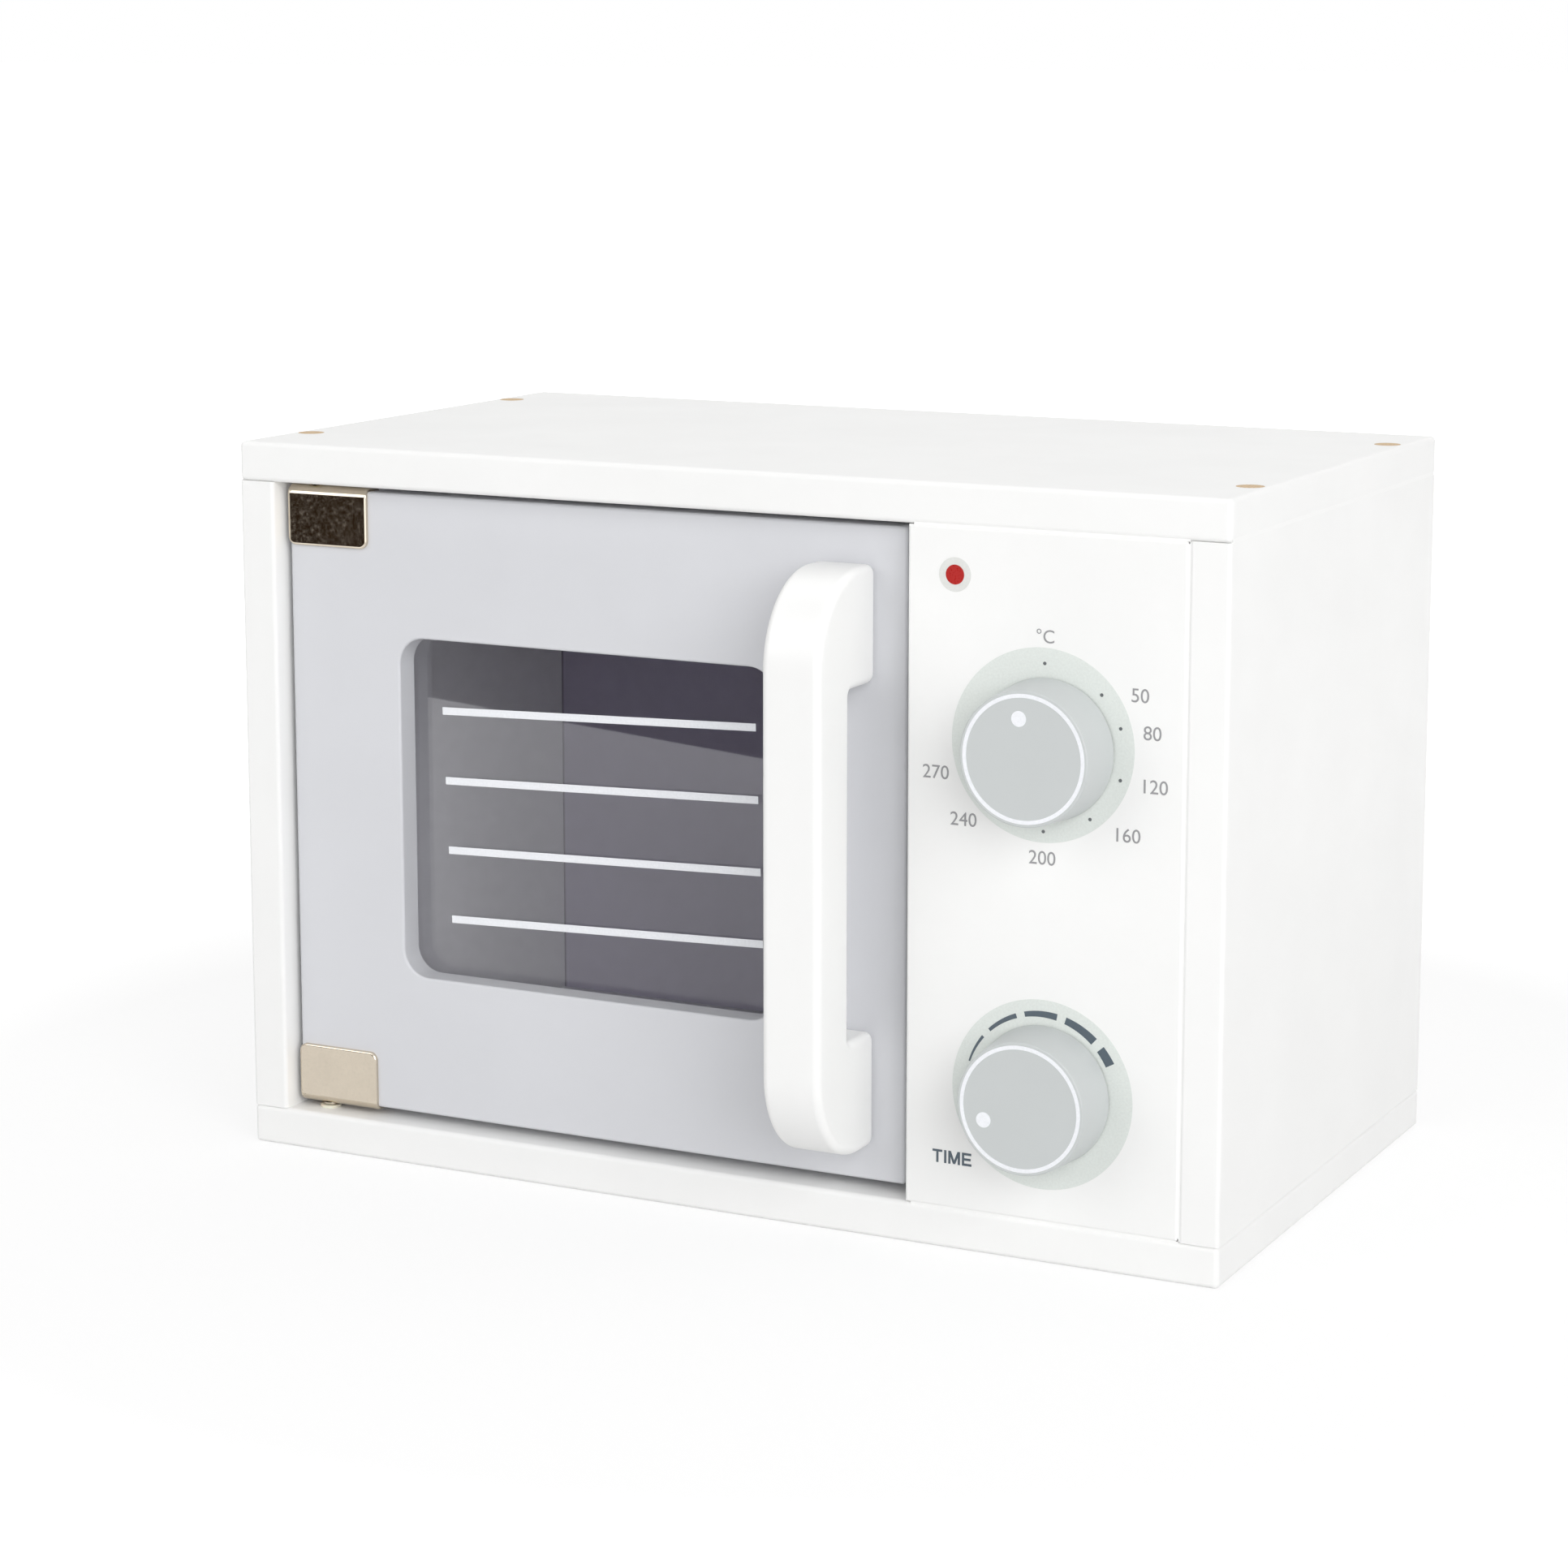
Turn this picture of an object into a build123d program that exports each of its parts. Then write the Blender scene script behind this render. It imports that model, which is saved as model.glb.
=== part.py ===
from build123d import *
import os

# Toy microwave oven: a dowelled board case, a hinged door with a window, and two turning knobs.
# Millimetres. X runs across the front, Y runs back from the front, Z is up.
# The origin is the middle of the underside.

# Case boards
case_width = 320.0
case_depth = 180.0
case_height = 220.0
board = 12.0
board_edge_radius = 1.5
side_edge_radius = 1.2

# Back panel in its grooves
back_thickness = 4.0
back_inset = 4.0
groove_depth = 4.0
groove_clearance = 0.1
groove_end_clearance = 0.3

# Dowels through the top and bottom boards into the side boards
dowel_radius = 4.0
dowel_length = 32.0
dowel_setback = 30.0
dowel_clearance = 0.03
dowel_chamfer = 1.0

# Divider between the oven and the controls
divider_thickness = 12.0
divider_stop_width = 6.0
housing_depth = 3.0
housing_setback = 20.0
housing_clearance = 0.05

# Control panel and the battens that carry it
control_panel_width = 83.3
control_panel_thickness = 12.0
control_panel_edge_radius = 0.8
control_panel_gap = 0.2
batten_section = 12.0
batten_end_gap = 2.0
batten_screw_inset = 28.0
batten_screw_radius = 1.5
batten_screw_length = 18.0
batten_screw_head_radius = 3.0
batten_screw_head_height = 2.0

# Door board
door_recess = 6.0
door_thickness = 12.0
door_edge_radius = 1.0
door_gap_hinge = 1.8
door_gap_latch = 3.0
door_gap_top = 2.0
door_gap_bottom = 2.8
door_stop_clearance = 0.3

# Window in the door
window_from_hinge_edge = 37.8
window_from_latch_edge = 41.5
window_from_top = 42.7
window_from_bottom = 42.2
window_corner_radius = 9.0
window_edge_radius = 0.8
pane_thickness = 2.0
pane_depth = 8.0
pane_overlap = 6.0
pane_clearance = 0.3
pane_corner_radius = 4.0
pane_screw_radius = 1.2
pane_screw_length = 9.0
pane_screw_head_radius = 2.3
pane_screw_head_height = 1.4
pane_screw_inset = 22.0

# Handle
handle_width = 18.2
handle_from_door_ends = 10.85
handle_height = 35.8
handle_grip_thickness = 19.3
handle_foot_length = 34.0
handle_end_radius = 27.0
handle_foot_radius = 3.0
handle_inner_radius = 2.0
handle_edge_radius = 2.2
handle_from_latch_edge = 9.8
handle_screw_radius = 2.0
handle_screw_length = 26.0
handle_screw_head_radius = 3.8
handle_screw_head_height = 2.4
handle_screw_from_end = 18.0

# Pivot hinge clips, bent from sheet and clamped on a tongue at the door's hinge corners
clip_sheet = 1.2
clip_width = 28.2
clip_height = 18.6
clip_bend_radius = 3.2
clip_rear_bend_radius = 2.0
clip_bend_clearance = 0.15
clip_corner_radius = 2.6
clip_edge_break = 0.7
clip_collar_radius = 3.6
clip_collar_height = 1.4
door_tongue = 5.0
clamp_pad_thickness = 1.0
clamp_pad_side = 10.0
clamp_screw_radius = 2.0
clamp_screw_length = 4.2
clamp_screw_clearance = 0.03
clamp_slot_width = 0.8
clamp_slot_depth = 1.0
tongue_margin = 1.6
pin_radius = 1.5
pin_from_hinge_edge = 8.7
pin_reach = 6.5
pin_collar_radius = 2.3
pin_collar_height = 0.5
pin_seat_clearance = 0.02
pin_running_clearance = 0.08
bush_radius = 3.3
bush_length = 8.0
bush_seat_clearance = 0.02
bush_end_clearance = 0.3
washer_lift = 0.3

# Magnetic catch on the divider and its strike plate on the door
catch_width = 9.5
catch_wall = 1.5
catch_depth = 15.0
catch_block_length = 21.0
catch_ear_length = 5.6
catch_ear_thickness = 3.0
catch_pocket_depth = 9.0
catch_pocket_length = 17.0
catch_pole_thickness = 1.2
catch_pole_proud = 0.4
catch_magnet_set_back = 0.3
catch_fit_clearance = 0.05
catch_clearance = 0.3
catch_screw_radius = 1.5
catch_screw_length = 11.0
catch_screw_head_radius = 2.5
catch_screw_head_height = 1.8
strike_width = 8.0
strike_length = 22.0
strike_thickness = 1.2
strike_corner_radius = 1.5
strike_screw_radius = 1.2
strike_screw_length = 8.0
strike_screw_head_radius = 2.1
strike_screw_inset = 4.5

# Knobs
knob_axis_from_right = 41.0
temperature_axis_from_top = 72.4
timer_axis_height = 49.1
knob_base_radius = 20.1
knob_face_radius = 19.0
knob_height = 15.9
knob_edge_radius = 0.5
knob_wall = 2.0
knob_gap = 0.5
knob_hub_radius = 5.0
knob_hub_clearance = 0.08
knob_end_play = 0.3
knob_rib_count = 6
knob_rib_thickness = 1.2
knob_rib_setback = 3.0
knob_washer_radius = 8.0
knob_washer_thickness = 1.0
knob_screw_radius = 1.5
knob_screw_length = 11.0
knob_screw_head_radius = 3.2
knob_screw_head_height = 2.2

# Fit of every screw in its pilot hole, and the cross in its head
screw_clearance = 0.02
cross_width = 0.8
cross_share = 0.6

# Places that follow from the sizes
front = -case_depth / 2
rear = case_depth / 2
left_inner = -case_width / 2 + board
right_inner = case_width / 2 - board
floor = board
ceiling = case_height - board
back_rear = rear - back_inset
back_front = back_rear - back_thickness

control_right = right_inner - control_panel_gap
control_left = control_right - control_panel_width
control_back = front + control_panel_thickness
divider_left = control_left - divider_stop_width
divider_right = divider_left + divider_thickness
housing_front = control_back + housing_setback

door_front = front + door_recess
door_back = door_front + door_thickness
door_left = left_inner + door_gap_hinge
door_right = control_left - door_gap_latch
door_bottom = floor + door_gap_bottom
door_top = ceiling - door_gap_top
divider_stop_front = door_back + door_stop_clearance

window_left = door_left + window_from_hinge_edge
window_right = door_right - window_from_latch_edge
window_bottom = door_bottom + window_from_bottom
window_top = door_top - window_from_top
pane_front = door_front + pane_depth
pane_rear = pane_front + pane_thickness

handle_right = door_right - handle_from_latch_edge
handle_left = handle_right - handle_width
handle_middle = (handle_left + handle_right) / 2
handle_bottom = door_bottom + handle_from_door_ends
handle_top = door_top - handle_from_door_ends

clip_front = door_front - clip_sheet
clip_rear = door_front + door_tongue + clamp_pad_thickness + clip_sheet
clip_right = door_left + clip_width
clip_middle = (door_left + clip_right) / 2
pin_x = door_left + pin_from_hinge_edge
pin_y = (clip_front + clip_rear) / 2

catch_front = door_back + strike_thickness + catch_clearance
catch_height = (door_bottom + door_top) / 2
catch_middle = divider_left - catch_width / 2

knob_x = right_inner - knob_axis_from_right
temperature_axis_height = case_height - temperature_axis_from_top


def block(x0, x1, y0, y1, z0, z1):
    """A box between two corners, in any order."""
    size = (abs(x1 - x0), abs(y1 - y0), abs(z1 - z0))
    middle = ((x0 + x1) / 2, (y0 + y1) / 2, (z0 + z1) / 2)
    return Pos(*middle) * Box(*size)


def rod(radius, length, start, direction):
    """A cylinder from a start point along a direction."""
    along = Plane(origin=start, z_dir=direction)
    return along.location * Cylinder(radius, length, align=(Align.CENTER, Align.CENTER, Align.MIN))


def placed(solid, start, direction):
    """A solid drawn along local Z, carried to a start point and direction."""
    return Plane(origin=start, z_dir=direction).location * solid


def pan_screw(radius, length, head_radius, head_height):
    """A pan head screw whose shank points along Z from the seat of its head."""
    shank = Cylinder(radius, length, align=(Align.CENTER, Align.CENTER, Align.MIN))
    shank = chamfer(shank.edges().sort_by(Axis.Z)[-1], radius / 2)
    head = Cylinder(head_radius, head_height, align=(Align.CENTER, Align.CENTER, Align.MAX))
    head = fillet(head.edges().sort_by(Axis.Z)[0], head_height / 2)
    return shank + head - cross_recess(head_radius, -head_height)


def countersunk_screw(radius, length, head_radius, head_height):
    """A countersunk screw whose shank points along Z and whose head ends flush at Z = 0."""
    head = Cone(head_radius, radius, head_height, align=(Align.CENTER, Align.CENTER, Align.MIN))
    shank = Cylinder(radius, length, align=(Align.CENTER, Align.CENTER, Align.MIN))
    shank = chamfer(shank.edges().sort_by(Axis.Z)[-1], radius / 2)
    return head + shank - cross_recess(head_radius, 0)


def cross_recess(head_radius, top):
    """The cross cut in a screw head, from its top face along Z."""
    reach = 2 * head_radius * cross_share
    one = Box(reach, cross_width, 2 * cross_width)
    other = Box(cross_width, reach, 2 * cross_width)
    return Pos(0, 0, top) * (one + other)


def group(solids):
    """Several separate solids in one node."""
    return Compound(children=list(solids))


def dowel_places():
    """The middle of each dowel, seen from above."""
    for x in (-case_width / 2 + board / 2, case_width / 2 - board / 2):
        for y in (front + dowel_setback, rear - dowel_setback):
            yield x, y


def flat_board(low, high, inner):
    """The top or bottom board: rounded all round, bored for dowels, and cut for what it holds."""
    body = block(-case_width / 2, case_width / 2, front, rear, low, high)
    body = fillet(body.edges(), board_edge_radius)
    inward = 1 if inner == low else -1
    for x, y in dowel_places():
        body -= rod(dowel_radius + dowel_clearance, board, (x, y, low), (0, 0, 1))
    body -= block(
        left_inner - groove_depth, right_inner + groove_depth,
        back_front - groove_clearance, back_rear + groove_clearance,
        inner, inner + inward * groove_depth,
    )
    body -= block(
        divider_left - housing_clearance, divider_right + housing_clearance,
        housing_front, back_front,
        inner, inner + inward * housing_depth,
    )
    body -= rod(
        bush_radius + bush_seat_clearance, bush_length + bush_end_clearance,
        (pin_x, pin_y, inner), (0, 0, inward),
    )
    return body


def top_panel():
    return flat_board(ceiling, case_height, ceiling)


def bottom_panel():
    return flat_board(0, board, floor)


def side_panel(outer, inner):
    """A side board between the top and bottom boards, grooved for the back panel."""
    inward = 1 if outer > inner else -1
    body = block(outer, inner, front, rear, floor, ceiling)
    body = fillet(body.edges().filter_by(Axis.Z), side_edge_radius)
    body -= block(
        inner, inner + inward * groove_depth,
        back_front - groove_clearance, back_rear + groove_clearance,
        floor, ceiling,
    )
    deep = dowel_length - board + groove_end_clearance
    for x, y in dowel_places():
        if abs(x - (outer + inner) / 2) < board:
            body -= rod(dowel_radius + dowel_clearance, deep, (x, y, ceiling), (0, 0, -1))
            body -= rod(dowel_radius + dowel_clearance, deep, (x, y, floor), (0, 0, 1))
    return body


def left_side_panel():
    return side_panel(-case_width / 2, left_inner)


def right_side_panel():
    return side_panel(case_width / 2, right_inner)


def dowels(outer, inward):
    """Four dowels whose ends lie flush in the face of a top or bottom board."""
    plain = Cylinder(dowel_radius, dowel_length, align=(Align.CENTER, Align.CENTER, Align.MIN))
    plain = chamfer(plain.edges().sort_by(Axis.Z)[-1], dowel_chamfer)
    return group(placed(plain, (x, y, outer), (0, 0, inward)) for x, y in dowel_places())


def back_panel():
    reach = groove_depth - groove_end_clearance
    return block(
        left_inner - reach, right_inner + reach,
        back_front, back_rear,
        floor - reach, ceiling + reach,
    )


def divider_panel():
    """The divider: housed in the top and bottom boards, with a step that stops the door."""
    body = block(divider_left, divider_right, control_back, back_front, floor, ceiling)
    tongue_front = housing_front + groove_end_clearance
    reach = housing_depth - groove_end_clearance
    body += block(
        divider_left, divider_right, tongue_front, back_front,
        floor - reach, ceiling + reach,
    )
    body -= block(divider_left, control_left, control_back, divider_stop_front, floor, ceiling)
    for place in catch_screw_places():
        body -= rod(catch_screw_radius + screw_clearance, catch_screw_length, place, (1, 0, 0))
    return body


def batten_middles():
    """The middle of each batten across the control compartment."""
    return (divider_right + batten_section / 2, right_inner - batten_section / 2)


def batten_screw_places():
    """Where each batten screw enters the rear face of its batten."""
    for x in batten_middles():
        for z in (floor + batten_screw_inset, ceiling - batten_screw_inset):
            yield x, control_back + batten_section, z


def control_panel():
    """The board that carries the knobs, flush with the front of the case."""
    body = block(
        control_left, control_right, front, control_back,
        floor + control_panel_gap, ceiling - control_panel_gap,
    )
    body = fillet(body.faces().sort_by(Axis.Y)[0].edges(), control_panel_edge_radius)
    for height in (temperature_axis_height, timer_axis_height):
        body -= rod(
            knob_hub_radius + knob_hub_clearance, control_panel_thickness,
            (knob_x, front, height), (0, 1, 0),
        )
    for place in batten_screw_places():
        body -= rod(batten_screw_radius + screw_clearance, batten_screw_length, place, (0, -1, 0))
    return body


def panel_battens():
    """Two upright battens behind the control panel, on the divider and the right side."""
    battens = []
    half = batten_section / 2
    for middle in batten_middles():
        body = block(
            middle - half, middle + half, control_back, control_back + batten_section,
            floor + batten_end_gap, ceiling - batten_end_gap,
        )
        for place in batten_screw_places():
            if abs(place[0] - middle) < half:
                body -= rod(batten_screw_radius + screw_clearance, batten_section, place, (0, -1, 0))
        battens.append(body)
    return group(battens)


def batten_screws():
    plain = pan_screw(
        batten_screw_radius, batten_screw_length,
        batten_screw_head_radius, batten_screw_head_height,
    )
    return group(placed(plain, place, (0, -1, 0)) for place in batten_screw_places())


def pane_screw_places():
    """Where each pane screw enters the rear face of the pane, in the middle of its border."""
    out = pane_overlap / 2
    for x in (window_left + pane_screw_inset, window_right - pane_screw_inset):
        yield x, pane_rear, window_top + out
        yield x, pane_rear, window_bottom - out
    for x in (window_left - out, window_right + out):
        yield x, pane_rear, (window_top + window_bottom) / 2


def handle_screw_places():
    """Where each handle screw enters the rear face of the door."""
    for z in (handle_bottom + handle_screw_from_end, handle_top - handle_screw_from_end):
        yield handle_middle, door_back, z


def strike_screw_places():
    """Where each strike screw enters the rear face of the strike plate."""
    reach = strike_length / 2 - strike_screw_inset
    for z in (catch_height - reach, catch_height + reach):
        yield catch_middle, door_back + strike_thickness, z


def catch_screw_places():
    """Where each catch screw enters the divider."""
    reach = (catch_block_length + catch_ear_length) / 2
    for z in (catch_height - reach, catch_height + reach):
        yield divider_left, catch_front + catch_pole_proud + catch_depth / 2, z


def door_panel():
    """The door board: a rounded window with a rebate behind it, and tongues for the hinge clips."""
    body = block(door_left, door_right, door_front, door_back, door_bottom, door_top)
    body = fillet(body.edges(), door_edge_radius)

    opening = block(
        window_left + window_edge_radius, window_right - window_edge_radius,
        door_front, door_back,
        window_bottom + window_edge_radius, window_top - window_edge_radius,
    )
    inner_corner = window_corner_radius - window_edge_radius
    body -= fillet(opening.edges().filter_by(Axis.Y), inner_corner)
    rim = body.faces().sort_by(Axis.Y)[0].inner_wires()[0].edges()
    body = fillet(rim, window_edge_radius)

    around = pane_overlap + pane_clearance
    rebate = block(
        window_left - around, window_right + around,
        pane_front, door_back,
        window_bottom - around, window_top + around,
    )
    body -= fillet(rebate.edges().filter_by(Axis.Y), pane_corner_radius + pane_clearance)

    relief = clip_bend_radius - clip_sheet + clip_bend_clearance
    for edge, inward in ((door_top, -1), (door_bottom, 1)):
        corner = block(
            door_left, clip_right, door_front, door_front + relief, edge, edge + inward * relief,
        )
        body -= corner - rod(
            relief, clip_width, (door_left, door_front + relief, edge + inward * relief), (1, 0, 0),
        )
        body -= block(
            door_left, clip_right + tongue_margin,
            door_front + door_tongue, door_back,
            edge, edge + inward * (clip_height + tongue_margin),
        )
    for place in pane_screw_places():
        body -= rod(pane_screw_radius + screw_clearance, pane_screw_length, place, (0, -1, 0))
    for place in handle_screw_places():
        body -= rod(handle_screw_radius + screw_clearance, door_thickness, place, (0, -1, 0))
    for place in strike_screw_places():
        body -= rod(strike_screw_radius + screw_clearance, strike_screw_length, place, (0, -1, 0))
    return body


def window_pane():
    body = block(
        window_left - pane_overlap, window_right + pane_overlap,
        pane_front, pane_rear,
        window_bottom - pane_overlap, window_top + pane_overlap,
    )
    body = fillet(body.edges().filter_by(Axis.Y), pane_corner_radius)
    for place in pane_screw_places():
        body -= rod(pane_screw_radius + screw_clearance, pane_thickness, place, (0, -1, 0))
    return body


def pane_screws():
    plain = pan_screw(
        pane_screw_radius, pane_screw_length,
        pane_screw_head_radius, pane_screw_head_height,
    )
    return group(placed(plain, place, (0, -1, 0)) for place in pane_screw_places())


def handle():
    """The D handle: large round ends outside, a finger gap inside, and every edge rounded over."""
    grip_rear = door_front - handle_height + handle_grip_thickness
    body = block(
        handle_left, handle_right, door_front - handle_height, door_front,
        handle_bottom, handle_top,
    )
    ends = body.edges().filter_by(Axis.X).sort_by(Axis.Y)
    body = fillet(ends[:2], handle_end_radius)
    body = fillet(body.edges().filter_by(Axis.X).group_by(Axis.Y)[-1], handle_foot_radius)
    body -= block(
        handle_left, handle_right, grip_rear, door_front,
        handle_bottom + handle_foot_length, handle_top - handle_foot_length,
    )
    inside = [
        edge for edge in body.edges().filter_by(Axis.X)
        if handle_bottom + handle_foot_length / 2 < edge.center().Z < handle_top - handle_foot_length / 2
    ]
    near_door = [edge for edge in inside if abs(edge.center().Y - door_front) < handle_inner_radius]
    near_grip = [edge for edge in inside if abs(edge.center().Y - grip_rear) < handle_inner_radius]
    body = fillet(near_door, handle_foot_radius)
    near_grip = [
        edge for edge in body.edges().filter_by(Axis.X)
        if any((edge.center() - old.center()).length < handle_inner_radius / 2 for old in near_grip)
    ]
    body = fillet(near_grip, handle_inner_radius)
    sides = body.faces().sort_by(Axis.X)
    body = fillet(sides[0].edges() + sides[-1].edges(), handle_edge_radius)
    deep = handle_screw_length - door_thickness
    for x, _, z in handle_screw_places():
        body -= rod(handle_screw_radius + screw_clearance, deep, (x, door_front, z), (0, -1, 0))
    return body


def handle_screws():
    plain = pan_screw(
        handle_screw_radius, handle_screw_length,
        handle_screw_head_radius, handle_screw_head_height,
    )
    return group(placed(plain, place, (0, -1, 0)) for place in handle_screw_places())


def bend_edges(body, outward, front_radius, rear_radius):
    """Round a clip's outer edges where the sheet bends, at the front and at the rear."""
    far = body.edges().filter_by(Axis.X).group_by(Axis.Z)[-1 if outward > 0 else 0]
    body = fillet(far.sort_by(Axis.Y)[:1], front_radius)
    far = body.edges().filter_by(Axis.X).filter_by(lambda edge: edge.center().Y > door_front + door_tongue / 2)
    return fillet(far.group_by(Axis.Z)[-1 if outward > 0 else 0], rear_radius)


def hinge_clip(edge, outward):
    """A clip bent round the door's edge, with a threaded collar in its rear leg."""
    far = edge + outward * clip_sheet
    low = far - outward * clip_height
    outer = block(door_left, clip_right, clip_front, clip_rear, low, far)
    inside = block(
        door_left, clip_right, clip_front + clip_sheet, clip_rear - clip_sheet, low, edge,
    )
    outer = bend_edges(outer, outward, clip_bend_radius, clip_rear_bend_radius)
    inside = bend_edges(inside, outward, clip_bend_radius - clip_sheet, clip_rear_bend_radius - clip_sheet)
    body = outer - inside
    corners = body.edges().filter_by(Axis.Y).group_by(Axis.Z)[0 if outward > 0 else -1]
    body = fillet(corners, clip_corner_radius)
    rim = body.faces().sort_by(Axis.Y)[0].edges().group_by(Axis.Z)[0 if outward > 0 else -1]
    body = fillet(rim, clip_edge_break)
    body += rod(clip_collar_radius, clip_collar_height, clamp_place(edge, outward), (0, 1, 0))
    thread = clip_sheet + clip_collar_height
    start = clamp_place(edge, outward, clip_rear - clip_sheet)
    body -= rod(clamp_screw_radius + clamp_screw_clearance, thread, start, (0, 1, 0))
    body -= rod(pin_radius + pin_seat_clearance, clip_sheet, (pin_x, pin_y, edge), (0, 0, outward))
    return body


def clamp_place(edge, outward, y=clip_rear):
    """The middle of a clip's clamp screw, at a given depth."""
    return clip_middle, y, edge - outward * (clip_height - clip_sheet) / 2


def hinge_pin(edge, outward):
    """A pin riveted in a clip, with a shoulder outside it, that turns in its bush."""
    far = edge + outward * clip_sheet
    panel = ceiling if outward > 0 else floor
    length = abs(panel - edge) + pin_reach
    shank = Cylinder(pin_radius, length, align=(Align.CENTER, Align.CENTER, Align.MIN))
    shank = chamfer(shank.edges().sort_by(Axis.Z)[-1], pin_radius / 3)
    body = placed(shank, (pin_x, pin_y, edge), (0, 0, outward))
    return body + rod(pin_collar_radius, pin_collar_height, (pin_x, pin_y, far), (0, 0, outward))


def pin_bush(panel, outward):
    """A plastic bush sunk flush in the top or bottom board."""
    body = rod(bush_radius, bush_length, (pin_x, pin_y, panel), (0, 0, outward))
    bore = pin_radius + pin_running_clearance
    return body - rod(bore, pin_reach + bush_end_clearance, (pin_x, pin_y, panel), (0, 0, outward))


def thrust_washer():
    """The washer on the lower bush that carries the door."""
    shoulder = door_bottom - clip_sheet - pin_collar_height
    thickness = shoulder - washer_lift - floor
    body = rod(bush_radius, thickness, (pin_x, pin_y, floor), (0, 0, 1))
    return body - rod(pin_radius + pin_running_clearance, thickness, (pin_x, pin_y, floor), (0, 0, 1))


def clamp_screws():
    """Slotted screws through the rear legs that press the pads on the door's tongues."""
    plain = Cylinder(
        clamp_screw_radius, clamp_screw_length, align=(Align.CENTER, Align.CENTER, Align.MIN),
    )
    plain -= Pos(0, 0, clamp_screw_length) * Box(
        2 * clamp_screw_radius, clamp_slot_width, 2 * clamp_slot_depth,
    )
    start = clip_rear - clip_sheet
    places = (clamp_place(door_top, 1, start), clamp_place(door_bottom, -1, start))
    return group(placed(plain, place, (0, 1, 0)) for place in places)


def clamp_pads():
    half = clamp_pad_side / 2
    tongue_rear = door_front + door_tongue
    pads = []
    for x, _, z in (clamp_place(door_top, 1), clamp_place(door_bottom, -1)):
        pad = block(x - half, x + half, tongue_rear, tongue_rear + clamp_pad_thickness, z - half, z + half)
        pads.append(pad)
    return group(pads)


def catch_housing():
    """The catch body: a pocket for the magnet between two thin ears."""
    face = catch_front + catch_pole_proud
    half = catch_block_length / 2
    left = divider_left - catch_width
    body = block(left, divider_left, face, face + catch_depth, catch_height - half, catch_height + half)
    body = fillet(body.edges().filter_by(Axis.Z).sort_by(Axis.X)[:2], catch_wall / 2)
    ear = half + catch_ear_length
    body += block(
        divider_left - catch_ear_thickness, divider_left, face, face + catch_depth,
        catch_height - ear, catch_height + ear,
    )
    reach = catch_pocket_length / 2
    body -= block(
        left + catch_wall, divider_left - catch_wall, face, face + catch_pocket_depth,
        catch_height - reach, catch_height + reach,
    )
    for _, y, z in catch_screw_places():
        start = (divider_left - catch_ear_thickness, y, z)
        body -= rod(catch_screw_radius + screw_clearance, catch_ear_thickness, start, (1, 0, 0))
    return body


def catch_stack(set_back, start, end):
    """A slice of the stack in the catch pocket, from one X to another."""
    reach = catch_pocket_length / 2 - catch_fit_clearance
    face = catch_front + catch_pole_proud
    return block(
        start, end, catch_front + set_back, face + catch_pocket_depth,
        catch_height - reach, catch_height + reach,
    )


def catch_poles():
    """The two steel plates that the strike plate closes against."""
    left = divider_left - catch_width + catch_wall + catch_fit_clearance
    right = divider_left - catch_wall - catch_fit_clearance
    return group((
        catch_stack(0, left, left + catch_pole_thickness),
        catch_stack(0, right - catch_pole_thickness, right),
    ))


def catch_magnet():
    inside = catch_wall + catch_fit_clearance + catch_pole_thickness
    return catch_stack(
        catch_pole_proud + catch_magnet_set_back,
        divider_left - catch_width + inside, divider_left - inside,
    )


def catch_screws():
    plain = pan_screw(
        catch_screw_radius, catch_screw_length,
        catch_screw_head_radius, catch_screw_head_height,
    )
    places = ((divider_left - catch_ear_thickness, y, z) for _, y, z in catch_screw_places())
    return group(placed(plain, place, (1, 0, 0)) for place in places)


def strike_plate():
    half = strike_width / 2
    body = block(
        catch_middle - half, catch_middle + half, door_back, door_back + strike_thickness,
        catch_height - strike_length / 2, catch_height + strike_length / 2,
    )
    body = fillet(body.edges().filter_by(Axis.Y), strike_corner_radius)
    sink = Cone(
        strike_screw_head_radius + screw_clearance, strike_screw_radius + screw_clearance,
        strike_thickness, align=(Align.CENTER, Align.CENTER, Align.MIN),
    )
    for place in strike_screw_places():
        body -= placed(sink, place, (0, -1, 0))
    return body


def strike_screws():
    plain = countersunk_screw(
        strike_screw_radius, strike_screw_length,
        strike_screw_head_radius, strike_thickness,
    )
    return group(placed(plain, place, (0, -1, 0)) for place in strike_screw_places())


def knob_place(height, out):
    """A point on a knob's axis, a distance out from the control panel's face."""
    return knob_x, front - out, height


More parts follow.
